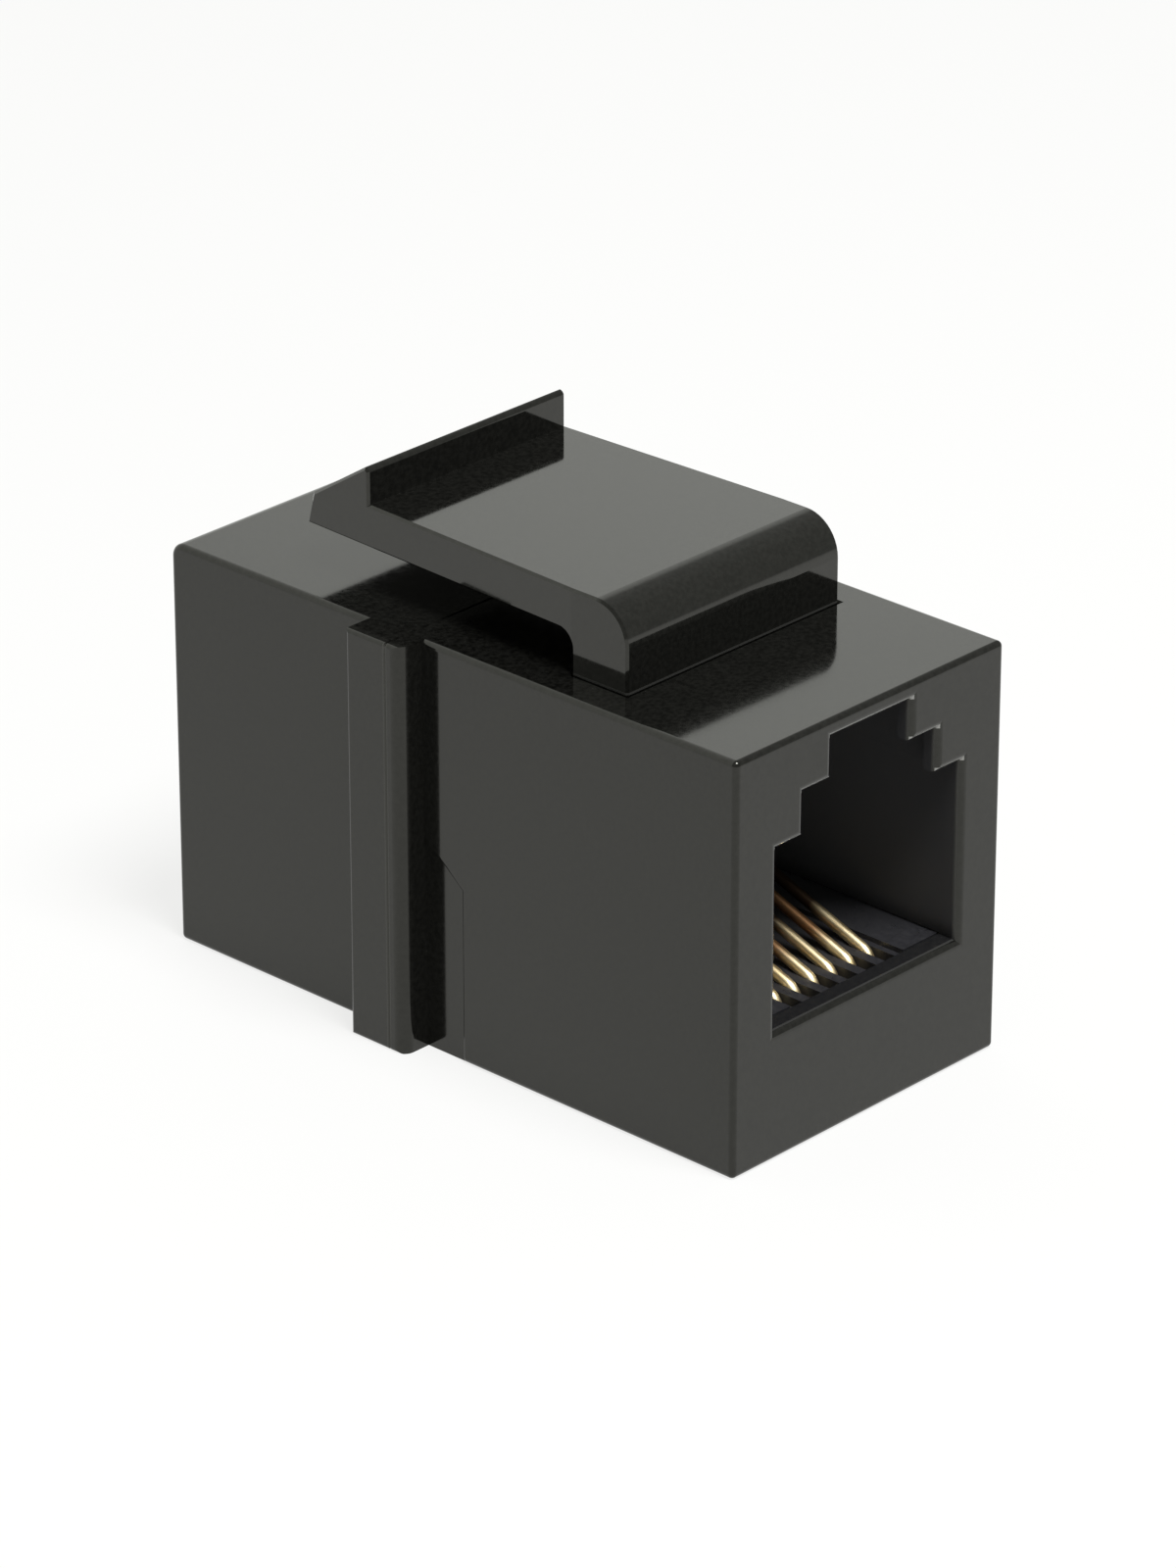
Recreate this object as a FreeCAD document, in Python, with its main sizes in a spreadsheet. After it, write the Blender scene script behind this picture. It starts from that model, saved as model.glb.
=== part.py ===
import FreeCAD, Part
import math
import os
import Sketcher

# Feed-through keystone jack for six-position modular plugs.
# X runs across the jack, Y from the front socket (-Y) to the rear socket (+Y), Z up.
# The origin is in the middle of the underside. Lengths are in millimetres, the slope in
# degrees. Places along the jack are given as distances behind its front face.

DRIVING_SIZES = [
    # the two shells, one behind the other
    ("body_width", 14.5),
    ("body_height", 16.6),
    ("body_length", 28.6),
    ("edge_round", 0.22),
    ("rear_top_round", 0.55),
    # the flange that stops against the panel, split by the seam between the shells
    ("flange_reach", 1.15),
    ("flange_front", 15.42),
    ("flange_back", 18.2),
    ("flange_front_round", 0.5),
    ("flange_round", 0.15),
    ("seam_place", 16.2),
    ("seam_bevel", 0.06),
    # the thin relief in each side of the front shell, just ahead of the flange
    ("relief_front", 13.5),
    ("relief_depth", 0.12),
    ("relief_height", 7.1),
    ("relief_rise", 1.55),
    ("relief_round", 0.11),
    # the plug sockets
    ("socket_width", 10.0),
    ("socket_floor", 5.2),
    ("socket_ceiling", 12.5),
    ("shoulder_width", 7.2),
    ("shoulder_ceiling", 14.25),
    ("notch_width", 4.25),
    ("notch_ceiling", 15.9),
    ("mouth_round", 0.3),
    ("rear_mouth_round", 0.14),
    ("face_wall", 0.65),
    ("hook_space_width", 8.4),
    ("hook_space_end", 6.0),
    # the chamber under the sockets and the wire insert in it
    ("chamber_width", 11.2),
    ("chamber_floor", 1.2),
    ("chamber_front", 0.9),
    ("insert_gap", 0.05),
    ("keeper_top", 3.415),
    ("trench_width", 6.2),
    ("trench_depth", 0.2),
    # the comb wall between the two sockets
    ("comb_wall_half", 1.7),
    ("comb_depth", 1.2),
    ("comb_top", 9.35),
    # the lap joint between the shells
    ("tongue_length", 1.8),
    ("tongue_width", 13.1),
    ("tongue_bottom", 0.6),
    ("tongue_top", 15.2),
    ("lap_gap", 0.04),
    # the contact wires
    ("wire_radius", 0.225),
    ("wire_pitch", 1.02),
    ("groove_width", 0.56),
    ("groove_gap", 0.02),
    ("bend_radius", 0.7),
    ("spring_slope", 20.0),
    ("spring_start", 2.55),
    ("spring_height", 5.0),
    ("spring_tip", 13.3),
    # the pegs that join the keeper plate to the wire carrier
    ("peg_radius", 0.6),
    ("peg_height", 1.3),
    ("peg_offset", 4.3),
    ("peg_gap", 0.02),
    ("core_depth", 1.2),
    ("core_wall", 0.9),
    # the release latch
    ("foot_front", 6.65),
    ("foot_back", 9.4),
    ("foot_gap", 0.05),
    ("latch_half_width", 5.71),
    ("latch_end_half_width", 5.13),
    ("front_arc_radius", 1.55),
    ("rear_arc_radius", 0.65),
    ("arm_top", 19.95),
    ("arm_underside", 18.25),
    ("tab_face", 20.05),
    ("tab_top", 21.4),
    ("tab_round", 0.2),
    ("ramp_foot", 23.1),
    ("ramp_foot_height", 19.54),
    ("arm_end", 23.42),
    ("latch_edge", 0.1),
    ("trough_rim", 0.07),
    # how far the outline of a cut runs past the material it removes
    ("overcut", 0.3),
]
WIRE_COUNT = 6

doc = FreeCAD.newDocument("keystone_jack")
sheet = doc.addObject("Spreadsheet::Sheet", "sizes")
for row, (alias, value) in enumerate(DRIVING_SIZES, start=1):
    sheet.set("A%d" % row, alias)
    sheet.set("B%d" % row, str(value))
    sheet.setAlias("B%d" % row, alias)
doc.recompute()


class Size:
    """A length with its value now and the formula that ties it to the sheet."""

    def __init__(self, value, formula):
        self.value = float(value)
        self.formula = formula

    @staticmethod
    def of(thing):
        return thing if isinstance(thing, Size) else Size(thing, "%.9g" % thing)

    def __add__(self, other):
        other = Size.of(other)
        return Size(self.value + other.value, "(%s + %s)" % (self.formula, other.formula))

    def __sub__(self, other):
        other = Size.of(other)
        return Size(self.value - other.value, "(%s - %s)" % (self.formula, other.formula))

    def __mul__(self, other):
        other = Size.of(other)
        return Size(self.value * other.value, "(%s * %s)" % (self.formula, other.formula))

    def __truediv__(self, other):
        other = Size.of(other)
        return Size(self.value / other.value, "(%s / %s)" % (self.formula, other.formula))

    def __neg__(self):
        return Size(-self.value, "(-1 * %s)" % self.formula)


def size(alias):
    return Size(getattr(sheet, alias), "sizes." + alias)


def slope_function(name, function):
    """sine, cosine or tangent of the contact springs' slope, tied to the sheet."""
    value = function(math.radians(sheet.spring_slope))
    return Size(value, "%s(sizes.spring_slope * 1 deg)" % name)


ZERO = Size(0, "0")
OVERCUT = size("overcut")
HALF_LENGTH = size("body_length") / 2
HALF_WIDTH = size("body_width") / 2


def along(distance):
    """Y of a point that lies a given distance behind the front face."""
    return distance - HALF_LENGTH


# ---- drawing and feature helpers ------------------------------------------------

def new_body(label):
    body = doc.addObject("PartDesign::Body", label)
    body.Label = label
    return body


def new_sketch(body, name, plane, offset=ZERO):
    """An empty sketch on one of the body's own planes, moved along that plane's normal."""
    sketch = body.newObject("Sketcher::SketchObject", name)
    support = [item for item in body.Origin.OriginFeatures if item.Role == plane][0]
    sketch.AttachmentSupport = [(support, "")]
    sketch.MapMode = "FlatFace"
    if offset is not ZERO:
        sketch.AttachmentOffset = FreeCAD.Placement(
            FreeCAD.Vector(0, 0, offset.value), FreeCAD.Rotation()
        )
        sketch.setExpression("AttachmentOffset.Base.z", offset.formula)
    return sketch


def bind(sketch, constraint, formula):
    index = sketch.addConstraint(constraint)
    sketch.setExpression("Constraints[%d]" % index, formula)


def pin_point(sketch, geometry, end, across, up):
    """Holds one end of a line or arc at a place measured from the sketch's origin."""
    for kind, distance in (("DistanceX", across), ("DistanceY", up)):
        bind(
            sketch,
            Sketcher.Constraint(kind, -1, 1, geometry, end, distance.value),
            distance.formula,
        )


def arc_between(start, finish, radius, turn):
    """The shorter arc from start to finish; turn is +1 anticlockwise, -1 clockwise."""
    chord = finish - start
    half = chord.Length / 2
    rise = math.sqrt(max(radius * radius - half * half, 0.0))
    left = FreeCAD.Vector(-chord.y, chord.x, 0).normalize()
    centre = start + chord * 0.5 + left * (rise * turn)
    middle = centre - left * (radius * turn)
    return Part.Arc(start, middle, finish)


def draw(sketch, corners, closed=True):
    """Draws an outline, or an open route, of corners held at their places.

    A corner is (across, up), or (across, up, radius, turn) where it is reached from the
    corner before it by an arc; turn is +1 for anticlockwise and -1 for clockwise.
    """
    spots = [FreeCAD.Vector(corner[0].value, corner[1].value, 0) for corner in corners]
    pieces = []
    for index in range(0 if closed else 1, len(corners)):
        corner = corners[index]
        if len(corner) == 4:
            radius, turn = corner[2:]
            curve = arc_between(spots[index - 1], spots[index], radius.value, turn)
            # a sketch stores every arc anticlockwise, so a clockwise one ends at its start
            finish = 2 if turn > 0 else 1
        else:
            curve = Part.LineSegment(spots[index - 1], spots[index])
            finish = 2
        pieces.append((sketch.addGeometry(curve), finish, corner))
    if not closed:
        pin_point(sketch, pieces[0][0], 3 - pieces[0][1], corners[0][0], corners[0][1])
    for index, (piece, finish, corner) in enumerate(pieces):
        pin_point(sketch, piece, finish, corner[0], corner[1])
        if len(corner) == 4:
            radius = corner[2]
            bind(sketch, Sketcher.Constraint("Radius", piece, radius.value), radius.formula)
        if closed or index + 1 < len(pieces):
            after, after_finish, _ = pieces[(index + 1) % len(pieces)]
            sketch.addConstraint(
                Sketcher.Constraint("Coincident", piece, finish, after, 3 - after_finish)
            )


def draw_box(sketch, left, bottom, right, top):
    draw(sketch, [(right, bottom), (right, top), (left, top), (left, bottom)])


def draw_circle(sketch, across, up, radius):
    centre = FreeCAD.Vector(across.value, up.value, 0)
    index = sketch.addGeometry(
        Part.Circle(centre, FreeCAD.Vector(0, 0, 1), radius.value)
    )
    pin_point(sketch, index, 3, across, up)
    bind(sketch, Sketcher.Constraint("Radius", index, radius.value), radius.formula)


def sweep_straight(kind, body, name, sketch, length, both_ways, backwards):
    feature = body.newObject(kind, name)
    feature.Profile = sketch
    feature.Length = length.value
    feature.setExpression("Length", length.formula)
    feature.SideType = "Symmetric" if both_ways else "One side"
    feature.Reversed = backwards
    doc.recompute()
    return feature


def pad(body, name, sketch, length, both_ways=False, backwards=False):
    return sweep_straight("PartDesign::Pad", body, name, sketch, length, both_ways, backwards)


def pocket(body, name, sketch, length, both_ways=False, backwards=False):
    """A pocket that is checked to have removed something."""
    before = body.Shape.Volume
    feature = sweep_straight(
        "PartDesign::Pocket", body, name, sketch, length, both_ways, backwards
    )
    if body.Shape.Volume > before - 1e-6:
        raise RuntimeError("%s cuts nothing" % name)
    return feature


def edges_where(shape, test):
    """Names of the edges of which five points along the length all pass the test."""
    names = []
    for index, edge in enumerate(shape.Edges, start=1):
        first, last = edge.ParameterRange
        points = [edge.valueAt(first + (last - first) * step / 4) for step in range(5)]
        if all(test(point) for point in points):
            names.append("Edge%d" % index)
    return names


def soften(kind, body, name, amount, test):
    """A fillet or chamfer of one size on the edges that pass the test."""
    base = body.Tip
    names = edges_where(base.Shape, test)
    if not names:
        raise RuntimeError("%s finds no edge" % name)
    feature = body.newObject(kind, name)
    feature.Base = (base, names)
    measure = "Radius" if kind.endswith("Fillet") else "Size"
    setattr(feature, measure, amount.value)
    feature.setExpression(measure, amount.formula)
    doc.recompute()
    return feature


def fillet(body, name, amount, test):
    return soften("PartDesign::Fillet", body, name, amount, test)


def chamfer(body, name, amount, test):
    return soften("PartDesign::Chamfer", body, name, amount, test)


def near(value, target, slack=1e-4):
    return abs(value - target) < slack


# ---- the two shells ----------------------------------------------------------------
# Both are one moulding each: a box with a stepped socket mouth in its end face, the
# socket and the insert's chamber open towards the seam, and half of the panel flange.
# "end" is -1 for the front shell and +1 for the rear one.

HEIGHT = size("body_height")
SEAM = along(size("seam_place"))
FLANGE_HALF_WIDTH = HALF_WIDTH + size("flange_reach")


def end_plane(end, inwards=ZERO):
    """Offset, along the XZ plane's normal (-Y), of a plane inside an end face."""
    return (HALF_LENGTH - inwards) * -end


def stepped_arch(floor, levels):
    """Corners of an arch whose levels, (half width, ceiling), narrow upwards."""
    right = []
    bottom = floor
    for half, ceiling in levels:
        right.append((half, bottom))
        right.append((half, ceiling))
        bottom = ceiling
    left = [(-across, up) for across, up in reversed(right)]
    return right + left


SOCKET_LEVEL = (size("socket_width") / 2, size("socket_ceiling"))
SHOULDER_LEVEL = (size("shoulder_width") / 2, size("shoulder_ceiling"))
NOTCH_LEVEL = (size("notch_width") / 2, size("notch_ceiling"))


def add_outer_form(body, end):
    """The box from the end face to the seam, its rounded edges and its flange half."""
    length = HALF_LENGTH + SEAM * -end
    box = new_sketch(body, body.Label + "_box_outline", "XZ_Plane", end_plane(end))
    draw_box(box, -HALF_WIDTH, ZERO, HALF_WIDTH, HEIGHT)
    pad(body, body.Label + "_box", box, length, backwards=(end < 0))

    def at_side(point):
        return near(abs(point.x), HALF_WIDTH.value)

    def at_roof(point):
        return near(point.z, HEIGHT.value)

    def at_face(point):
        return near(point.y, HALF_LENGTH.value * end)

    def outer_edge(point):
        level = at_roof(point) or near(point.z, 0)
        return (at_side(point) and level) or (at_face(point) and (at_side(point) or level))

    if end > 0:
        fillet(
            body,
            "rear_top_rounding",
            size("rear_top_round"),
            lambda point: at_face(point) and at_roof(point),
        )
    fillet(body, body.Label + "_rounding", size("edge_round"), outer_edge)
    flange = new_sketch(body, body.Label + "_flange_outline", "XY_Plane")
    border = along(size("flange_front") if end < 0 else size("flange_back"))
    low, high = (border, SEAM) if end < 0 else (SEAM, border)
    draw_box(flange, -FLANGE_HALF_WIDTH, low, FLANGE_HALF_WIDTH, high)
    pad(body, body.Label + "_flange", flange, HEIGHT)

    def at_flange_side(point):
        return near(abs(point.x), FLANGE_HALF_WIDTH.value)

    fillet(
        body,
        body.Label + "_flange_rounding",
        size("flange_round"),
        lambda point: at_flange_side(point)
        and (near(point.y, border.value) or at_roof(point) or near(point.z, 0)),
    )
    chamfer(
        body,
        body.Label + "_seam_bevel",
        size("seam_bevel"),
        lambda point: at_flange_side(point) and near(point.y, SEAM.value),
    )


def cut_socket(body, end):
    """The chamber and socket from the seam, the mouth, and the plug hook's space."""
    name = body.Label
    depth = HALF_LENGTH + SEAM * -end
    half_chamber = size("chamber_width") / 2
    chamber = new_sketch(body, name + "_chamber_outline", "XZ_Plane", -SEAM)
    draw_box(
        chamber,
        -half_chamber,
        size("chamber_floor"),
        half_chamber,
        size("socket_floor") + size("insert_gap"),
    )
    pocket(
        body,
        name + "_chamber",
        chamber,
        depth - size("chamber_front"),
        backwards=(end < 0),
    )
    bore = new_sketch(body, name + "_socket_outline", "XZ_Plane", -SEAM)
    draw(bore, stepped_arch(size("socket_floor"), [SOCKET_LEVEL, SHOULDER_LEVEL]))
    pocket(body, name + "_socket", bore, depth, backwards=(end < 0))
    mouth = new_sketch(body, name + "_notch_outline", "XZ_Plane", end_plane(end))
    draw(mouth, stepped_arch(SOCKET_LEVEL[1], [NOTCH_LEVEL]))
    pocket(body, name + "_notch", mouth, size("hook_space_end"), backwards=(end > 0))
    hook = new_sketch(
        body, name + "_hook_outline", "XZ_Plane", end_plane(end, size("face_wall"))
    )
    half_hook = size("hook_space_width") / 2
    draw_box(hook, -half_hook, SOCKET_LEVEL[1] - OVERCUT, half_hook, NOTCH_LEVEL[1])
    pocket(
        body,
        name + "_hook_space",
        hook,
        size("hook_space_end") - size("face_wall"),
        backwards=(end > 0),
    )
    face = HALF_LENGTH.value * end
    half = SOCKET_LEVEL[0].value
    floor = size("socket_floor").value
    fillet(
        body,
        name + "_mouth_rounding",
        size("mouth_round") if end < 0 else size("rear_mouth_round"),
        lambda point: near(point.y, face)
        and abs(point.x) < half + 1e-4
        and floor - 1e-4 < point.z < NOTCH_LEVEL[1].value + 1e-4,
    )


def round_flange_front(body):
    """Cuts the flange's two front corners to a larger rounding, from top to bottom."""
    outline = new_sketch(body, "flange_corner_outline", "XY_Plane")
    front = along(size("flange_front"))
    radius = size("flange_front_round")
    outer = FLANGE_HALF_WIDTH + OVERCUT
    inner = FLANGE_HALF_WIDTH - radius
    for side in (-1, 1):
        draw(
            outline,
            [
                (outer * side, front - OVERCUT),
                (outer * side, front + radius),
                (FLANGE_HALF_WIDTH * side, front + radius),
                (inner * side, front, radius, -side),
                (inner * side, front - OVERCUT),
            ],
        )
    pocket(body, "flange_corners", outline, HEIGHT, backwards=True)


def cut_relief(body, side):
    """The thin relief in one side, with its top sloping up towards the flange."""
    outline = new_sketch(
        body, "relief_outline_%s" % side, "YZ_Plane", HALF_WIDTH * side
    )
    front = along(size("relief_front"))
    back = along(size("flange_front"))
    top = size("relief_height")
    name = "relief_%s" % ("right" if side > 0 else "left")
    draw(outline, [(front, ZERO), (back, ZERO), (back, top + size("relief_rise")), (front, top)])
    pocket(body, name, outline, size("relief_depth"), backwards=(side < 0))
    highest = (top + size("relief_rise")).value
    fillet(
        body,
        name + "_rounding",
        size("relief_round"),
        lambda point: near(point.x, HALF_WIDTH.value * side)
        and front.value - 1e-4 < point.y < back.value + 1e-4
        and point.z < highest + 1e-4,
    )


FOOT_MIDDLE = along((size("foot_front") + size("foot_back")) / 2)
FOOT_RADIUS = (size("foot_back") - size("foot_front")) / 2


def cut_latch_trough(body):
    """The half-round trough in the roof in which the latch's foot rolls."""
    radius = FOOT_RADIUS + size("foot_gap")
    outline = new_sketch(body, "trough_outline", "YZ_Plane")
    draw(
        outline,
        [
            (FOOT_MIDDLE - radius, HEIGHT),
            (FOOT_MIDDLE, HEIGHT - radius, radius, 1),
            (FOOT_MIDDLE + radius, HEIGHT, radius, 1),
            (FOOT_MIDDLE + radius, HEIGHT + OVERCUT),
            (FOOT_MIDDLE - radius, HEIGHT + OVERCUT),
        ],
    )
    width = (size("latch_half_width") + size("foot_gap")) * 2
    pocket(body, "trough", outline, width, both_ways=True)
    low = FOOT_MIDDLE.value - radius.value
    high = FOOT_MIDDLE.value + radius.value
    chamfer(
        body,
        "trough_rim",
        size("trough_rim"),
        lambda point: near(point.z, HEIGHT.value)
        and low - 1e-4 < point.y < high + 1e-4
        and abs(point.x) < width.value / 2 + 1e-4,
    )


def tongue_ring(gap):
    """Left, bottom, right and top of the lap joint's outer outline."""
    half = size("tongue_width") / 2 + gap
    return -half, size("tongue_bottom") - gap, half, size("tongue_top") + gap


def build_front_shell():
    body = new_body("front_housing")
    add_outer_form(body, -1)
    rebate = new_sketch(body, "rebate_outline", "XZ_Plane", -SEAM)
    draw_box(rebate, *tongue_ring(size("lap_gap")))
    pocket(body, "rebate", rebate, size("tongue_length") + size("lap_gap"), backwards=True)
    cut_socket(body, -1)
    round_flange_front(body)
    for side in (-1, 1):
        cut_relief(body, side)
    cut_latch_trough(body)
    return body


def build_rear_shell():
    body = new_body("rear_housing")
    add_outer_form(body, 1)
    ring = new_sketch(body, "tongue_outline", "XZ_Plane", -SEAM)
    draw_box(ring, *tongue_ring(ZERO))
    pad(body, "tongue", ring, size("tongue_length"))
    hollow = new_sketch(body, "tongue_chamber_outline", "XZ_Plane", -SEAM)
    half_chamber = size("chamber_width") / 2
    floor = size("socket_floor") + size("insert_gap")
    draw_box(hollow, -half_chamber, size("chamber_floor"), half_chamber, floor)
    pocket(body, "tongue_chamber", hollow, size("tongue_length"), backwards=True)
    bore = new_sketch(body, "tongue_socket_outline", "XZ_Plane", -SEAM)
    draw(bore, stepped_arch(size("socket_floor"), [SOCKET_LEVEL, SHOULDER_LEVEL]))
    pocket(body, "tongue_socket", bore, size("tongue_length"), backwards=True)
    cut_socket(body, 1)
    return body


# ---- the insert: wire carrier, keeper plate and contact wires ----------------------
# The wires lie in grooves under the carrier, bend round its rounded noses at both ends
# and rise as springs into the sockets, where their tips rest in the comb wall's slots.

SLOPE_SINE = slope_function("sin", math.sin)
SLOPE_COSINE = slope_function("cos", math.cos)
SLOPE_TANGENT = slope_function("tan", math.tan)
SPRING_START = along(size("spring_start"))
BEND_MIDDLE = SPRING_START + size("bend_radius") * SLOPE_SINE
BEND_HEIGHT = size("spring_height") - size("bend_radius") * SLOPE_COSINE
RUN_HEIGHT = BEND_HEIGHT - size("bend_radius")
WIRE_ROW_END = size("wire_pitch") * ((WIRE_COUNT - 1) / 2)
INSERT_END = HALF_LENGTH - size("chamber_front") - size("insert_gap") * 2
INSERT_HALF_WIDTH = size("chamber_width") / 2 - size("insert_gap")


def spring_height_at(place):
    """Height of a spring's middle line at a Y in the front socket."""
    return size("spring_height") + (place - SPRING_START) * SLOPE_TANGENT


def repeat_across(body, feature, count, pitch):
    """A row of copies of a feature along X, the first at the row's right end."""
    row = body.newObject("PartDesign::LinearPattern", feature.Name + "_row")
    row.Originals = [feature]
    axis = [item for item in body.Origin.OriginFeatures if item.Role == "X_Axis"][0]
    row.Direction = (axis, [""])
    row.Reversed = True
    row.Length = pitch.value * (count - 1)
    row.setExpression("Length", "%s * %d" % (pitch.formula, count - 1))
    row.Occurrences = count
    body.Tip = row
    doc.recompute()
    return row


def cut_wire_grooves(body):
    """The groove of one wire, from nose to nose, repeated for the six wires."""
    nose = size("bend_radius") - size("wire_radius") - size("groove_gap")
    below = size("keeper_top") - OVERCUT
    above = size("socket_floor") + OVERCUT
    outer = INSERT_END + OVERCUT
    shelf_start = BEND_MIDDLE - nose * SLOPE_SINE
    shelf_height = BEND_HEIGHT + nose * SLOPE_COSINE
    shelf_end = shelf_start + (above - shelf_height) / SLOPE_TANGENT
    outline = new_sketch(body, "groove_outline", "YZ_Plane", WIRE_ROW_END)
    draw(
        outline,
        [
            (-outer, below),
            (outer, below),
            (outer, above),
            (-shelf_end, above),
            (-shelf_start, shelf_height),
            (nose - BEND_MIDDLE, BEND_HEIGHT, nose, -1),
            (-BEND_MIDDLE, BEND_HEIGHT - nose, nose, -1),
            (BEND_MIDDLE, BEND_HEIGHT - nose),
            (BEND_MIDDLE - nose, BEND_HEIGHT, nose, -1),
            (shelf_start, shelf_height, nose, -1),
            (shelf_end, above),
            (-outer, above),
        ],
    )
    groove = pocket(body, "groove", outline, size("groove_width"), both_ways=True)
    repeat_across(body, groove, WIRE_COUNT, size("wire_pitch"))


def cut_comb_slots(body):
    """Upright slots in both faces of the comb wall, one for each spring's tip."""
    face = size("comb_wall_half")
    back = face - size("comb_depth")
    floor = size("socket_floor") - size("trench_depth")
    outline = new_sketch(body, "slot_outline", "YZ_Plane", WIRE_ROW_END)
    draw_box(outline, -face - OVERCUT, floor, -back, size("comb_top"))
    draw_box(outline, back, floor, face + OVERCUT, size("comb_top"))
    slot = pocket(body, "slot", outline, size("groove_width"), both_ways=True)
    repeat_across(body, slot, WIRE_COUNT, size("wire_pitch"))


def build_wire_carrier():
    body = new_body("wire_carrier")
    plate = new_sketch(body, "carrier_plate_outline", "XY_Plane", size("keeper_top"))
    draw_box(plate, -INSERT_HALF_WIDTH, -INSERT_END, INSERT_HALF_WIDTH, INSERT_END)
    pad(body, "carrier_plate", plate, size("socket_floor") - size("keeper_top"))
    wall = new_sketch(body, "comb_wall_outline", "XZ_Plane")
    gap = size("insert_gap")
    levels = [(half - gap, ceiling - gap) for half, ceiling in (SOCKET_LEVEL, SHOULDER_LEVEL)]
    draw(wall, stepped_arch(size("keeper_top"), levels))
    pad(body, "comb_wall", wall, size("comb_wall_half") * 2, both_ways=True)
    trench = new_sketch(body, "trench_outline", "XY_Plane", size("socket_floor"))
    half = size("trench_width") / 2
    draw_box(trench, -half, -INSERT_END - OVERCUT, half, -size("comb_wall_half"))
    draw_box(trench, -half, size("comb_wall_half"), half, INSERT_END + OVERCUT)
    pocket(body, "trench", trench, size("trench_depth"))
    cut_comb_slots(body)
    cut_wire_grooves(body)
    holes = new_sketch(body, "peg_hole_outline", "XY_Plane", size("keeper_top"))
    for side in (-1, 1):
        draw_circle(holes, size("peg_offset") * side, ZERO, size("peg_radius") + size("peg_gap"))
    pocket(body, "peg_holes", holes, size("peg_height") + size("insert_gap"), backwards=True)
    return body


def build_keeper_plate():
    body = new_body("keeper_plate")
    plate = new_sketch(body, "keeper_outline", "XY_Plane", size("chamber_floor"))
    draw_box(plate, -INSERT_HALF_WIDTH, -INSERT_END, INSERT_HALF_WIDTH, INSERT_END)
    pad(body, "keeper", plate, size("keeper_top") - size("chamber_floor"))
    pegs = new_sketch(body, "peg_outline", "XY_Plane", size("keeper_top"))
    for side in (-1, 1):
        draw_circle(pegs, size("peg_offset") * side, ZERO, size("peg_radius"))
    pad(body, "pegs", pegs, size("peg_height"))
    cores = new_sketch(body, "core_outline", "XY_Plane", size("chamber_floor"))
    wall = size("core_wall")
    half = INSERT_HALF_WIDTH - wall
    draw_box(cores, -half, wall - INSERT_END, half, -wall)
    draw_box(cores, -half, wall, half, INSERT_END - wall)
    pocket(body, "cores", cores, size("core_depth"), backwards=True)
    return body


def wire_section():
    """Corners of the wire's section, drawn with eight flats one radius from its middle."""
    flat = size("wire_radius")
    corner = flat * math.tan(math.pi / 8)
    quarter = [(flat, -corner), (flat, corner), (corner, flat), (-corner, flat)]
    half_turned = [(-across, -up) for across, up in quarter]
    return [(across, RUN_HEIGHT + up) for across, up in quarter + half_turned]


def build_contact_wire(number):
    """One wire: the run under the carrier, a hairpin at each end, and two springs."""
    body = new_body("contact_wire_%d" % number)
    section = new_sketch(body, "wire_section_%d" % number, "XZ_Plane")
    draw(section, wire_section())
    path = new_sketch(body, "wire_path_%d" % number, "YZ_Plane")
    tip = along(size("spring_tip"))
    draw(
        path,
        [
            (ZERO, RUN_HEIGHT),
            (BEND_MIDDLE, RUN_HEIGHT),
            (SPRING_START, size("spring_height"), size("bend_radius"), -1),
            (tip, spring_height_at(tip)),
        ],
        closed=False,
    )
    doc.recompute()
    front = body.newObject("PartDesign::AdditivePipe", "front_half_%d" % number)
    front.Profile = section
    front.Spine = path
    doc.recompute()
    whole = body.newObject("PartDesign::Mirrored", "both_halves_%d" % number)
    whole.Originals = [front]
    mirror = [item for item in body.Origin.OriginFeatures if item.Role == "XZ_Plane"][0]
    whole.MirrorPlane = (mirror, [""])
    body.Tip = whole
    place = WIRE_ROW_END - size("wire_pitch") * (WIRE_COUNT - number)
    body.Placement.Base = FreeCAD.Vector(place.value, 0, 0)
    body.setExpression("Placement.Base.x", place.formula)
    doc.recompute()
    return body


# ---- the release latch -------------------------------------------------------------
# A springy arm that rises from the roof on a thick foot, runs back over the seam and
# ends in a tab: its upright face locks behind the panel and its ramp lets it snap in.

def latch_outline():
    front = along(size("foot_front"))
    back = along(size("foot_back"))
    tab = along(size("tab_face"))
    bend = size("front_arc_radius")
    inner = size("rear_arc_radius")
    tab_round = size("tab_round")
    return [
        (front, HEIGHT),
        (FOOT_MIDDLE, HEIGHT - FOOT_RADIUS, FOOT_RADIUS, 1),
        (back, HEIGHT, FOOT_RADIUS, 1),
        (back, size("arm_underside") - inner),
        (back + inner, size("arm_underside"), inner, -1),
        (along(size("arm_end")), size("arm_underside")),
        (along(size("ramp_foot")), size("ramp_foot_height")),
        (tab + tab_round, size("tab_top")),
        (tab, size("tab_top") - tab_round, tab_round, 1),
        (tab, size("arm_top")),
        (front + bend, size("arm_top")),
        (front, size("arm_top") - bend, bend, 1),
    ]


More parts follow.
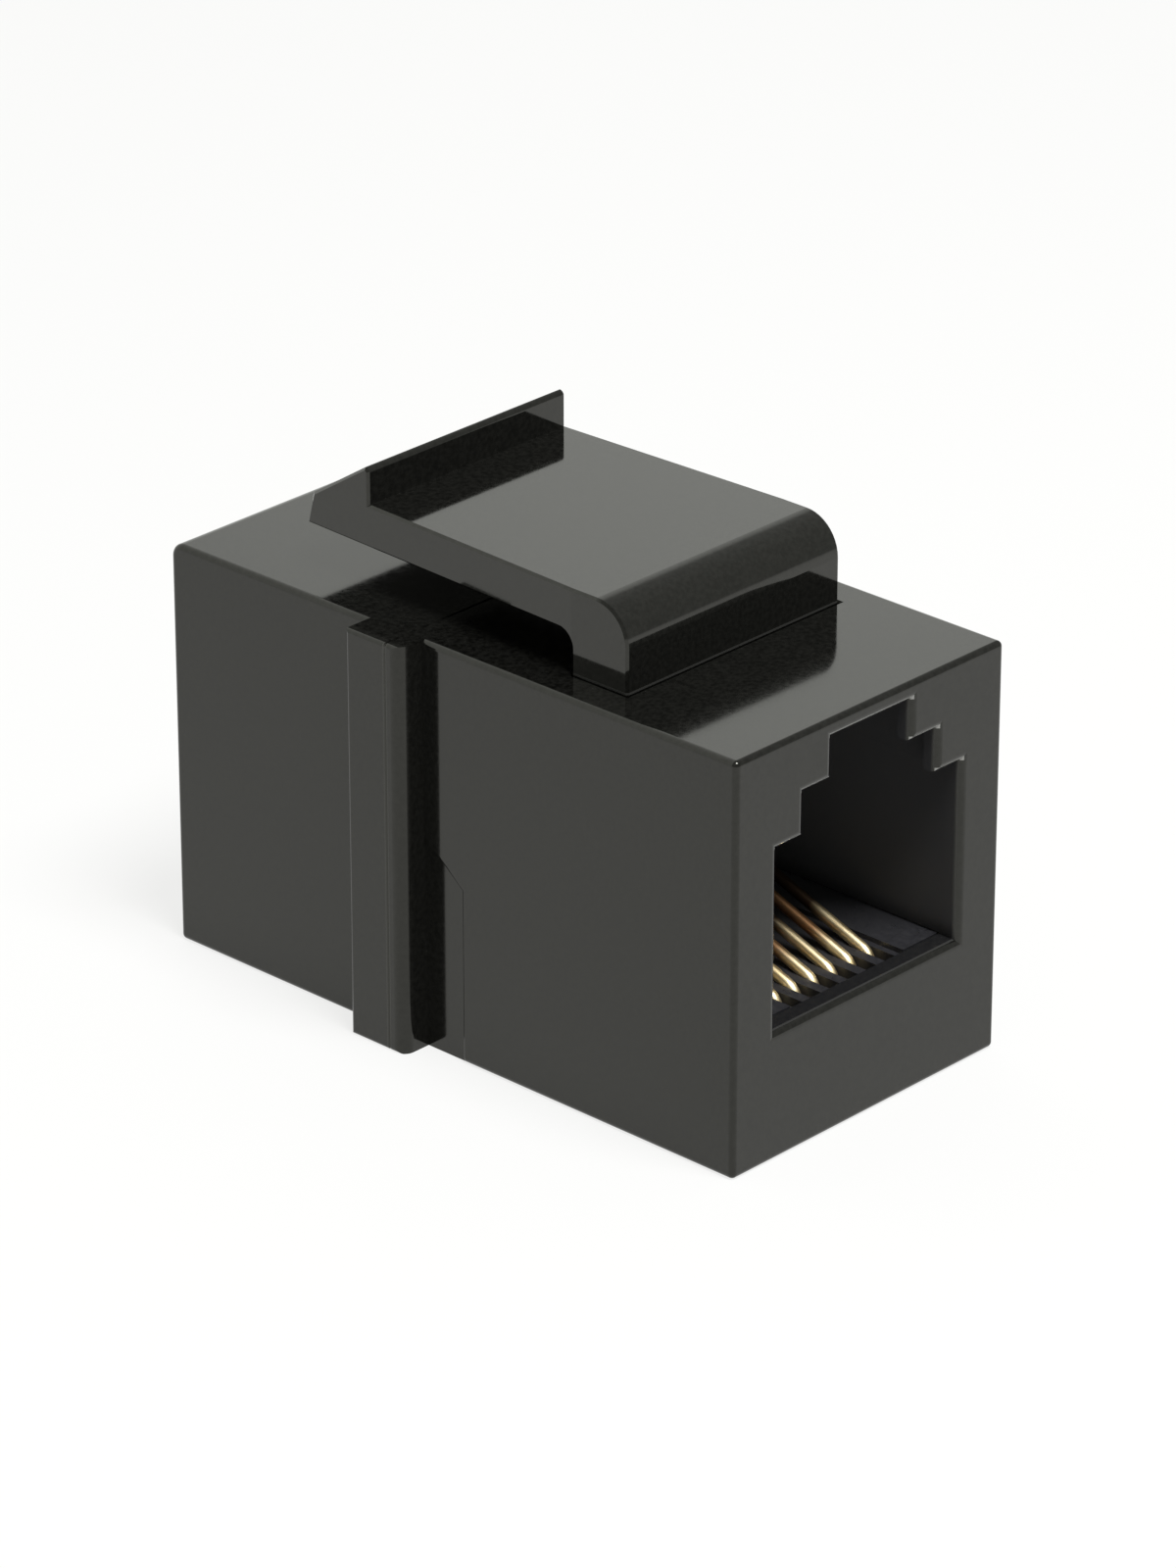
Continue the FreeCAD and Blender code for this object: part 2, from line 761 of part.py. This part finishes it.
def build_release_latch():
    body = new_body("release_latch")
    side_view = new_sketch(body, "latch_side_view", "YZ_Plane")
    draw(side_view, latch_outline())
    half = size("latch_half_width")
    pad(body, "latch_strap", side_view, half * 2, both_ways=True)
    taper = new_sketch(body, "latch_taper_outline", "XY_Plane")
    start = along(size("foot_back"))
    end = along(size("arm_end"))
    narrowing = (half - size("latch_end_half_width")) / (end - start)
    past = end + OVERCUT
    narrow = half - narrowing * (past - start)
    for side in (-1, 1):
        draw(
            taper,
            [
                (half * side, start),
                ((half + OVERCUT) * side, start),
                ((half + OVERCUT) * side, past),
                (narrow * side, past),
            ],
        )
    pocket(body, "latch_taper", taper, size("tab_top") + OVERCUT, backwards=True)

    def on_side_outline(point):
        reach = half.value - narrowing.value * max(point.y - start.value, 0)
        return near(abs(point.x), reach) and point.z > HEIGHT.value + 0.01

    chamfer(body, "latch_edges", size("latch_edge"), on_side_outline)
    return body


# ---- build, check and write ----------------------------------------------------------

def check_and_write(bodies):
    doc.recompute()
    for item in doc.Objects:
        if "Invalid" in item.State or "Error" in item.State:
            raise RuntimeError("%s failed: %s" % (item.Name, item.State))
    os.makedirs("parts", exist_ok=True)
    for body in bodies:
        shape = body.Shape
        if shape.isNull() or not shape.isValid() or len(shape.Solids) != 1:
            raise RuntimeError("%s is not one good solid" % body.Label)
        shape.exportStep("parts/%s.step" % body.Label)
        box = shape.BoundBox
        print(
            "%-16s %8.2f mm3  X %.2f..%.2f  Y %.2f..%.2f  Z %.2f..%.2f"
            % (
                body.Label,
                shape.Volume,
                box.XMin,
                box.XMax,
                box.YMin,
                box.YMax,
                box.ZMin,
                box.ZMax,
            )
        )


pieces = [
    build_front_shell(),
    build_rear_shell(),
    build_release_latch(),
    build_wire_carrier(),
    build_keeper_plate(),
]
for number in range(1, WIRE_COUNT + 1):
    pieces.append(build_contact_wire(number))
check_and_write(pieces)
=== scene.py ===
import math

import bpy
import numpy as np
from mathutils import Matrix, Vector


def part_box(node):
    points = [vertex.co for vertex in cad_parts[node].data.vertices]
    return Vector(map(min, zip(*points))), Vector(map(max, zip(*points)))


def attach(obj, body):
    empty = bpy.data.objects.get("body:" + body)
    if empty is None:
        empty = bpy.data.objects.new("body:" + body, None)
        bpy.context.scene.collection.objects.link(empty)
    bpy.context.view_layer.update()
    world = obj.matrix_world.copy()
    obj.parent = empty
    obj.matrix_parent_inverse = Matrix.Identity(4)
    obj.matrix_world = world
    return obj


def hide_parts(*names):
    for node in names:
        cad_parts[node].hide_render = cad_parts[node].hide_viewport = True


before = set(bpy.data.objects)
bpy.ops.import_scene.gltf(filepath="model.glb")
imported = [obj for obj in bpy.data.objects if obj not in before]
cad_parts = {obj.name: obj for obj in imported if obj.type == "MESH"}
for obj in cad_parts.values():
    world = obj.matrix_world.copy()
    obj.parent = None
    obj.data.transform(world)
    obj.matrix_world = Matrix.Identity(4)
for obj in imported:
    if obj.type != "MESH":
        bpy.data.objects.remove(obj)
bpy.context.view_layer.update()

# ---- Front and rear housing ----------------------------------------------------------
# Two black ABS mouldings that meet at the seam in the flange. Outside they come out of a
# polished mould and mirror what is round them; the cores that form the sockets are matt.

SHELL_COLOUR = (0.0042, 0.0042, 0.0037)
SHELL_ROUGHNESS = 0.09
SHELL_GRAIN = 3e-7
SHELL_SPREAD = 0.5
PLASTIC_IOR = 1.48
PLASTIC_TINT = (1.0, 1.0, 0.91)
CLOUDS = {"Scale": 5500.0, "Detail": 5.0}
SHADE_EDGES = (0.35, 0.65)
POLISH_EDGES = (0.3, 0.7)
POLISH_SPREAD = 0.25
FAST_NOISE = {"Scale": 5200.0, "Detail": 3.0}


def add_node(tree, kind, values, sources):
    """A new node, with some of its inputs set to numbers and others fed by outputs."""
    node = tree.nodes.new(kind)
    for name, value in values.items():
        node.inputs[name].default_value = value
    for name, source in sources.items():
        tree.links.new(source, node.inputs[name])
    return node


def between(tree, value, edges, ends=(0.0, 1.0)):
    """A number that goes from one end to the other while a value passes between two edges."""
    limits = {"From Min": edges[0], "From Max": edges[1], "To Min": ends[0], "To Max": ends[1]}
    return add_node(tree, "ShaderNodeMapRange", limits, {"Value": value}).outputs["Result"]


def two_shades(tree, value, dark, pale):
    """A colour from dark to pale, as a noise passes the middle part of its range."""
    ramp = add_node(tree, "ShaderNodeValToRGB", {}, {"Fac": value})
    for stop, position, colour in zip(ramp.color_ramp.elements, SHADE_EDGES, (dark, pale)):
        stop.position = position
        stop.color = (*colour, 1)
    return ramp.outputs["Color"]


def moulded_black(name, colour, roughness, grain_depth, spread):
    """Black plastic, ready for a local finish.

    Uneven noise spreads the colour by a share of its value each way, and the roughness by
    a quarter each way. Fast noise is the grain.
    """
    material = bpy.data.materials.new(name)
    material.use_nodes = True
    tree = material.node_tree
    shader = tree.nodes["Principled BSDF"]
    shader.inputs["IOR"].default_value = PLASTIC_IOR
    shader.inputs["Specular Tint"].default_value = (*PLASTIC_TINT, 1)
    place = {"Vector": tree.nodes.new("ShaderNodeTexCoord").outputs["Object"]}

    clouds = add_node(tree, "ShaderNodeTexNoise", CLOUDS, place).outputs["Fac"]
    darker = [(1.0 - spread) * part for part in colour]
    lighter = [(1.0 + spread) * part for part in colour]
    tree.links.new(two_shades(tree, clouds, darker, lighter), shader.inputs["Base Color"])
    ends = (roughness * (1.0 - POLISH_SPREAD), roughness * (1.0 + POLISH_SPREAD))
    tree.links.new(between(tree, clouds, POLISH_EDGES, ends), shader.inputs["Roughness"])

    grain = add_node(tree, "ShaderNodeTexNoise", FAST_NOISE, place).outputs["Fac"]
    bump = add_node(
        tree, "ShaderNodeBump", {"Strength": 1.0, "Distance": grain_depth}, {"Height": grain}
    )
    tree.links.new(bump.outputs["Normal"], shader.inputs["Normal"])
    return material


def local_finish(material, where, colour, roughness=None):
    """Lays another colour, and another roughness, on the places where a mask is 1.

    The mask is a function of the material's tree and of the place's X, Y and Z.
    """
    tree = material.node_tree
    shader = tree.nodes["Principled BSDF"]
    place = tree.nodes.new("ShaderNodeTexCoord").outputs["Object"]
    mask = where(tree, add_node(tree, "ShaderNodeSeparateXYZ", {}, {"Vector": place}).outputs)
    changes = [("Base Color", "RGBA", (*colour, 1))]
    if roughness is not None:
        changes.append(("Roughness", "FLOAT", roughness))
    for name, kind, value in changes:
        mix = tree.nodes.new("ShaderNodeMix")
        mix.data_type = kind
        factor, first, second = [socket for socket in mix.inputs if socket.enabled]
        [result] = [socket for socket in mix.outputs if socket.enabled]
        tree.links.new(mask, factor)
        tree.links.new(shader.inputs[name].links[0].from_socket, first)
        second.default_value = value
        tree.links.new(result, shader.inputs[name])


def product(tree, *numbers):
    """The product of some numbers, by a chain of Math nodes."""
    result = numbers[0]
    for number in numbers[1:]:
        node = add_node(tree, "ShaderNodeMath", {}, {0: result, 1: number})
        node.operation = "MULTIPLY"
        result = node.outputs["Value"]
    return result


def from_middle(tree, value):
    """The distance from the middle, for what is alike on both sides of it."""
    node = add_node(tree, "ShaderNodeMath", {}, {0: value})
    node.operation = "ABSOLUTE"
    return node.outputs["Value"]


def from_ends(*depths):
    """Distances from the middle of the jack of places at some depths behind its ends."""
    jack_end = -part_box("front_housing")[0].y
    return [jack_end - depth for depth in depths]


def band(tree, value, edges, soft):
    """1 between two edges, 0 past them, and a slope as wide as soft just inside each."""
    low, high = edges
    rise = between(tree, value, (low, low + soft))
    fall = between(tree, value, (high - soft, high), (1.0, 0.0))
    return product(tree, rise, fall)


# The sockets are matt inside. Their walls are painted paler than the shell, and a little paler
# still towards the middle of the jack: painted light, so that the walls still show where less
# light comes in.
CRISP = 1e-5
SOCKET_PAINTED_LIGHT = (0.024, 0.024, 0.027)
SOCKET_ROUGHNESS = 0.6
SOCKET_HALF_WIDTH = 0.00504
SOCKET_START = from_ends(0.00021, 0.00017)
SOCKET_BOTTOM = (0.0049, 0.0059)
SOCKET_TOP = (0.01605, 0.01605 + CRISP)
DEEP_PAINTED_LIGHT = (0.085, 0.086, 0.088)
DEEP_RANGE = from_ends(0.0083, 0.0008)


def within_half_width(tree, place, half_width):
    """1 nearer to the middle than a half-width, on both sides."""
    across = from_middle(tree, place["X"])
    return between(tree, across, (half_width, half_width + CRISP), (1.0, 0.0))


def inside_socket(tree, place):
    """1 on the walls of both sockets: the product of a step in width, depth and height."""
    deep = between(tree, from_middle(tree, place["Y"]), SOCKET_START, (1.0, 0.0))
    above = between(tree, place["Z"], SOCKET_BOTTOM)
    below = between(tree, place["Z"], SOCKET_TOP, (1.0, 0.0))
    return product(tree, within_half_width(tree, place, SOCKET_HALF_WIDTH), deep, above, below)


def far_inside(tree, place):
    """From 0 near the ends of the jack to 1 well inside it."""
    return between(tree, from_middle(tree, place["Y"]), DEEP_RANGE, (1.0, 0.0))


def deep_socket(tree, place):
    """From 0 near a socket's mouth to 1 well inside it, on the socket's walls."""
    return product(tree, inside_socket(tree, place), far_inside(tree, place))


# Painted highlights: the mouth's rounded edge is painted pale where it runs into the walls,
# and the edges of its ledges are painted paler still.
MOUTH_SOFT = 2e-5
RIM_PAINTED_HIGHLIGHT = (0.03, 0.03, 0.029)
RIM_BAND = from_ends(0.00028, 0.00017)
RIM_HALF_WIDTH = 0.00535
RIM_HEIGHTS = (0.0048, 0.01625)
LEDGE_PAINTED_HIGHLIGHT = (0.26, 0.26, 0.25)
LEDGE_BAND = from_ends(0.00015, 0.00002)
LEDGE_LEVELS = (0.0125, 0.01425, 0.0159)
LEDGE_REACH = 0.00016


def mouth_edge(depths, heights):
    """A mask that is 1 on the rounded edge of both mouths, between two depths and two heights."""
    low, high = heights

    def where(tree, place):
        narrow = within_half_width(tree, place, RIM_HALF_WIDTH)
        depth = band(tree, from_middle(tree, place["Y"]), depths, MOUTH_SOFT)
        height = band(tree, place["Z"], (low - CRISP, high + CRISP), CRISP)
        return product(tree, narrow, depth, height)

    return where


# A fine pale line is painted each side of the seam, a painted highlight, on the part of the
# flange past the body only.
SEAM_PAINTED_HIGHLIGHT = (0.024, 0.024, 0.022)
SEAM_BAND = 0.00011
SEAM_SOFT = 2e-5
FLANGE_SKIN = 0.00007


def beside_seam(tree, place):
    """1 in a narrow band each side of the seam, on the outer faces of the flange."""
    flange_face, seam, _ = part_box("front_housing")[1]
    edge = flange_face - FLANGE_SKIN
    outer = between(tree, from_middle(tree, place["X"]), (edge, edge + CRISP))
    beside = band(tree, place["Y"], (seam - SEAM_BAND, seam + SEAM_BAND), SEAM_SOFT)
    return product(tree, outer, beside)


def dress(node, material):
    """Puts one material on every slot of a CAD node."""
    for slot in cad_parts[node].material_slots:
        slot.material = material


shell_black = moulded_black(
    "shell_black", SHELL_COLOUR, SHELL_ROUGHNESS, SHELL_GRAIN, SHELL_SPREAD
)
# Painted light: the socket walls paler than the shell, and paler still deep inside.
local_finish(shell_black, inside_socket, SOCKET_PAINTED_LIGHT, SOCKET_ROUGHNESS)
local_finish(shell_black, deep_socket, DEEP_PAINTED_LIGHT)
# Painted highlights on the mouth's rounded edge and along the edges of its ledges.
local_finish(shell_black, mouth_edge(RIM_BAND, RIM_HEIGHTS), RIM_PAINTED_HIGHLIGHT)
for level in LEDGE_LEVELS:
    ledge = mouth_edge(LEDGE_BAND, (level, level + LEDGE_REACH))
    local_finish(shell_black, ledge, LEDGE_PAINTED_HIGHLIGHT)
# Painted highlight along the seam.
local_finish(shell_black, beside_seam, SEAM_PAINTED_HIGHLIGHT)
dress("front_housing", shell_black)
dress("rear_housing", shell_black)

# ---- Release latch ---------------------------------------------------------------------
# The springy arm over the roof, moulded in the same black plastic. Its top is the most
# polished face of the jack, and a pale line is painted round its foot just above the roof:
# a painted highlight where the foot meets its trough.

LATCH_ROUGHNESS = 0.07
LATCH_GRAIN = 2e-7
LATCH_GLOSS = 0.56
FOOT_PAINTED_HIGHLIGHT = (0.035, 0.035, 0.033)
FOOT_HIGHLIGHT_WIDTH = 0.0001


def foot_highlight_band(tree, place):
    """1 in a narrow band just above the roof, where the foot comes out of its trough."""
    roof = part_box("front_housing")[1].z
    return band(tree, place["Z"], (roof, roof + FOOT_HIGHLIGHT_WIDTH), CRISP)


latch_black = moulded_black(
    "latch_black", SHELL_COLOUR, LATCH_ROUGHNESS, LATCH_GRAIN, SHELL_SPREAD
)
latch_shader = latch_black.node_tree.nodes["Principled BSDF"]
latch_shader.inputs["Specular IOR Level"].default_value = LATCH_GLOSS
# Painted highlight round the latch's foot, just above the roof.
local_finish(latch_black, foot_highlight_band, FOOT_PAINTED_HIGHLIGHT)
dress("release_latch", latch_black)

# ---- Wire carrier and keeper plate -------------------------------------------------------
# The insert behind and under the sockets: a grooved slab with a comb wall, and the plate
# pegged below it. Both are black too, in a duller, slightly bluish plastic.

INSERT_COLOUR = (0.017, 0.017, 0.0195)
INSERT_ROUGHNESS = 0.36
INSERT_GRAIN = 4e-7
INSERT_SPREAD = 0.2
INSERT_PAINTED_LIGHT = (0.05, 0.05, 0.054)

insert_black = moulded_black(
    "insert_black", INSERT_COLOUR, INSERT_ROUGHNESS, INSERT_GRAIN, INSERT_SPREAD
)
# Painted light: the insert is painted paler well inside the jack, where less light comes in.
local_finish(insert_black, far_inside, INSERT_PAINTED_LIGHT)
dress("wire_carrier", insert_black)
dress("keeper_plate", insert_black)

# ---- Contact wires -----------------------------------------------------------------------
# Six round spring wires, gold plated. Each lies under the carrier, turns round its nose in
# a hairpin at both ends and rises at a slope into the socket, where a plug presses it down.

WIRE_COUNT = 6
SPRING_SLOPE = math.radians(20.0)
SPRING_TIP = -0.001
BEND_RADIUS = 0.0007
RUN_POINTS = 8
BEND_POINTS = 30
SPRING_POINTS = 12
WIRE_SIDES = 28
DOME_ANGLES = (35.0, 65.0)


def wire_centreline(low, high):
    """The wire's middle line in its own upright plane, as rows of (y, z), and its radius.

    With s the slope and the front half first: a straight run back from the middle of the
    jack, an arc of (180 degrees - s) about the nose's middle, and a straight spring at
    slope s. The rear half is the front half mirrored in y.
    """
    radius = (high.x - low.x) / 2
    bend_y = low.y + radius + BEND_RADIUS
    run_z = low.z + radius
    run_y = np.linspace(0.0, bend_y, RUN_POINTS)[:-1]
    run = np.stack([run_y, np.full(len(run_y), run_z)])
    turn = np.linspace(0.0, math.pi - SPRING_SLOPE, BEND_POINTS)
    bend_z = run_z + BEND_RADIUS * (1.0 - np.cos(turn))
    bend = np.stack([bend_y - BEND_RADIUS * np.sin(turn), bend_z])
    reach = SPRING_TIP - bend[0, -1]
    climb = np.array([[reach], [reach * math.tan(SPRING_SLOPE)]])
    spring = bend[:, -1:] + climb * np.linspace(0.0, 1.0, SPRING_POINTS)[1:]
    front = np.concatenate([run, bend, spring], axis=1)
    rear = front[:, :0:-1] * [[-1.0], [1.0]]
    return np.concatenate([rear, front], axis=1).T, radius


def tube_rings(x, line, radius):
    """Rings of points round a wire whose middle line lies in the upright plane at x.

    Ring i at angle a is the point (x + r cos a, line i + r sin a times the line's normal).
    The tube stops one radius r short of the line's ends. Past it a dome begins, with two
    rings of radius r cos b at a distance of r sin b.
    """
    tangent = np.gradient(line, axis=0)
    tangent /= np.linalg.norm(tangent, axis=1, keepdims=True)
    dome = np.radians(DOME_ANGLES)
    ends = []
    for end, outwards in ((0, -1.0), (-1, 1.0)):
        reach = (np.sin(dome) - 1.0)[:, None] * radius * outwards
        ends.append(line[end] + tangent[end] * reach)
    trimmed = line.copy()
    trimmed[0] = line[0] + tangent[0] * radius
    trimmed[-1] = line[-1] - tangent[-1] * radius
    centres = np.concatenate([ends[0][::-1], trimmed, ends[1]])
    directions = np.concatenate([[tangent[0]] * 2, tangent, [tangent[-1]] * 2])
    radii = np.concatenate([np.cos(dome)[::-1], np.ones(len(line)), np.cos(dome)]) * radius
    normals = np.stack([-directions[:, 1], directions[:, 0]], axis=1)
    angle = np.linspace(0.0, 2.0 * math.pi, WIRE_SIDES, endpoint=False)
    sideways = x + radii[:, None] * np.cos(angle)
    upwards = (radii[:, None] * np.sin(angle))[:, :, None] * normals[:, None, :]
    return np.concatenate([sideways[:, :, None], centres[:, None, :] + upwards], axis=2)


def closed_tube(rings, first_pole, last_pole):
    """Vertices and faces of a tube: quads from ring to ring, and a fan round each pole."""
    vertices = np.concatenate([rings.reshape(-1, 3), [first_pole, last_pole]])
    ring, side = np.meshgrid(np.arange(len(rings) - 1), np.arange(WIRE_SIDES), indexing="ij")
    here = ring * WIRE_SIDES + side
    beside = ring * WIRE_SIDES + (side + 1) % WIRE_SIDES
    quads = np.stack([here, here + WIRE_SIDES, beside + WIRE_SIDES, beside], axis=-1)
    sides = np.arange(WIRE_SIDES)
    after = (sides + 1) % WIRE_SIDES
    last = (len(rings) - 1) * WIRE_SIDES
    pole = np.full(WIRE_SIDES, len(vertices) - 2)
    first_fan = np.stack([pole, sides, after], axis=1)
    last_fan = np.stack([pole + 1, last + after, last + sides], axis=1)
    return vertices, quads.reshape(-1, 4).tolist() + first_fan.tolist() + last_fan.tolist()


GOLD_DEEP = (0.95, 0.74, 0.4)
GOLD_PALE = (1.0, 0.86, 0.56)
GOLD_ROUGHNESS = (0.36, 0.5)
STREAKS = {"Scale": 1.0, "Detail": 4.0}
STREAK_SCALES = (9000.0, 600.0, 2500.0)
WIRE_SHADE_FADE = 0.0009


def shaded_gold_wire(name, lit_length, shade_colour):
    """Gold, bright from the nose back for a length, then darker: painted shade further in.

    The painted shade is a step in the distance from the middle of the jack, for the part of
    the wire that lies deeper inside the socket. Noise drawn out along the wire varies the
    gold's colour and the polish of both.
    """
    material = bpy.data.materials.new(name)
    material.use_nodes = True
    tree = material.node_tree
    shader = tree.nodes["Principled BSDF"]
    shader.inputs["Metallic"].default_value = 1.0
    place = tree.nodes.new("ShaderNodeTexCoord").outputs["Object"]
    drawn = add_node(tree, "ShaderNodeMapping", {"Scale": STREAK_SCALES}, {"Vector": place})
    vector = {"Vector": drawn.outputs["Vector"]}
    streaks = add_node(tree, "ShaderNodeTexNoise", STREAKS, vector).outputs["Fac"]
    tree.links.new(two_shades(tree, streaks, GOLD_DEEP, GOLD_PALE), shader.inputs["Base Color"])
    polish = between(tree, streaks, (0.0, 1.0), GOLD_ROUGHNESS)
    tree.links.new(polish, shader.inputs["Roughness"])

    # 1 on the painted shade, further in than the bright length.
    def shaded_part(tree, place):
        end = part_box("contact_wire_1")[1].y - lit_length
        along = from_middle(tree, place["Y"])
        return between(tree, along, (end - WIRE_SHADE_FADE, end), (1.0, 0.0))

    local_finish(material, shaded_part, shade_colour)
    return material


# How far back from the nose each wire stays bright gold, and the painted shade past that;
# alternate wires differ.
LONG_LIT_LENGTH = 0.0022
LONG_PAINTED_SHADE = (0.1, 0.065, 0.04)
SHORT_LIT_LENGTH = 0.0012
SHORT_PAINTED_SHADE = (0.5, 0.27, 0.13)

even_wire = shaded_gold_wire("gold_long_shaded", LONG_LIT_LENGTH, LONG_PAINTED_SHADE)
odd_wire = shaded_gold_wire("gold_short_shaded", SHORT_LIT_LENGTH, SHORT_PAINTED_SHADE)
for number in range(1, WIRE_COUNT + 1):
    node = "contact_wire_%d" % number
    contact_gold = odd_wire if number % 2 else even_wire
    dress(node, contact_gold)
    low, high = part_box(node)
    line, radius = wire_centreline(low, high)
    x = (low.x + high.x) / 2
    vertices, faces = closed_tube(tube_rings(x, line, radius), (x, *line[0]), (x, *line[-1]))
    mesh = bpy.data.meshes.new("gold_wire_%d" % number)
    mesh.from_pydata(vertices.tolist(), [], faces)
    mesh.polygons.foreach_set("use_smooth", np.ones(len(faces), dtype=bool))
    mesh.materials.append(contact_gold)
    wire = bpy.data.objects.new(mesh.name, mesh)
    bpy.context.scene.collection.objects.link(wire)
    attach(wire, "jack_body")
    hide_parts(node)

# ---- Floor and light ---------------------------------------------------------------------
# A white table lit from below as well as from round it, so shadows on it stay faint. Behind
# it stands a bright wall, and the dim room over the jack darkens the latch's bent front.

FLOOR_SIZE = 3.0
FLOOR_COLOUR = (0.12, 0.12, 0.12)
FLOOR_ROUGHNESS = 0.9
FLOOR_GLOSS = 0.1
FLOOR_LIGHT = (1.0, 1.0, 0.99)
FLOOR_FADE = (-0.3, -0.08)
FLOOR_GLOWS = (0.34, 0.79)

bpy.ops.mesh.primitive_plane_add(size=FLOOR_SIZE)
floor = bpy.context.object
floor.name = "floor"
floor_paint = bpy.data.materials.new("floor_paint")
floor_paint.use_nodes = True
floor_tree = floor_paint.node_tree
floor_shader = floor_tree.nodes["Principled BSDF"]
floor_shader.inputs["Base Color"].default_value = (*FLOOR_COLOUR, 1)
floor_shader.inputs["Roughness"].default_value = FLOOR_ROUGHNESS
floor_shader.inputs["Specular IOR Level"].default_value = FLOOR_GLOSS
floor_shader.inputs["Emission Color"].default_value = (*FLOOR_LIGHT, 1)
floor_place = {"Vector": floor_tree.nodes.new("ShaderNodeTexCoord").outputs["Object"]}
floor_parts = add_node(floor_tree, "ShaderNodeSeparateXYZ", {}, floor_place)
# The glow is dimmer towards -Y, in front of the jack: painted shade on that part of the table.
floor_glow = between(floor_tree, floor_parts.outputs["Y"], FLOOR_FADE, FLOOR_GLOWS)
floor_glow.node.interpolation_type = "SMOOTHSTEP"
floor_tree.links.new(floor_glow, floor_shader.inputs["Emission Strength"])
floor.data.materials.append(floor_paint)

# The room's glow by direction: a step up to the wall towards +Y, times a slow drift in X.
ROOM_LIGHT = (0.985, 1.0, 0.96)
WALL_TOP = (0.38, 0.61)
WALL_GLOWS = (0.44, 1.26)
DRIFT_EDGES = (0.6, 0.74)
DRIFT_GLOWS = (0.84, 1.12)

world = bpy.data.worlds.new("room")
bpy.context.scene.world = world
world.use_nodes = True
room_tree = world.node_tree
direction = {"Vector": room_tree.nodes.new("ShaderNodeTexCoord").outputs["Generated"]}
room_parts = add_node(room_tree, "ShaderNodeSeparateXYZ", {}, direction).outputs
wall = between(room_tree, room_parts["Y"], WALL_TOP, WALL_GLOWS)
wall.node.interpolation_type = "SMOOTHSTEP"
drift = between(room_tree, room_parts["X"], DRIFT_EDGES, DRIFT_GLOWS)
background = room_tree.nodes["Background"]
background.inputs["Color"].default_value = (*ROOM_LIGHT, 1)
room_tree.links.new(product(room_tree, wall, drift), background.inputs["Strength"])

# A round lamp nearly overhead lights the gold and the sockets, and shows in no flat face.
LAMP_PLACE = Vector((-0.02, -0.13, 0.325))
LAMP_SIZE = 0.15
LAMP_POWER = 1.7


def set_up(name, data, place, direction):
    """A lamp or a camera at a place, looking along a direction with its top upwards."""
    thing = bpy.data.objects.new(name, data)
    bpy.context.scene.collection.objects.link(thing)
    thing.location = place
    thing.rotation_mode = "QUATERNION"
    thing.rotation_quaternion = direction.to_track_quat("-Z", "Y")
    return thing


lamp_data = bpy.data.lights.new("lamp", "AREA")
lamp_data.shape = "DISK"
lamp_data.size = LAMP_SIZE
lamp_data.energy = LAMP_POWER
set_up("lamp", lamp_data, LAMP_PLACE, -LAMP_PLACE)

bpy.context.scene.view_settings.view_transform = "Standard"

# ---- Camera ------------------------------------------------------------------------------
# A long lens a quarter of a metre away, looking down over the jack's front left corner.

CAMERA_PLACE = Vector((-0.1759, -0.16569, 0.12302))
AZIMUTH = math.radians(46.774)
ELEVATION = math.radians(25.32)
LENS = 164.294
SENSOR_WIDTH = 36.0
CLIP_START = 0.01

forward = Vector(
    (
        math.sin(AZIMUTH) * math.cos(ELEVATION),
        math.cos(AZIMUTH) * math.cos(ELEVATION),
        -math.sin(ELEVATION),
    )
)
camera_data = bpy.data.cameras.new("camera")
camera_data.lens = LENS
camera_data.sensor_width = SENSOR_WIDTH
camera_data.clip_start = CLIP_START
bpy.context.scene.camera = set_up("camera", camera_data, CAMERA_PLACE, forward)
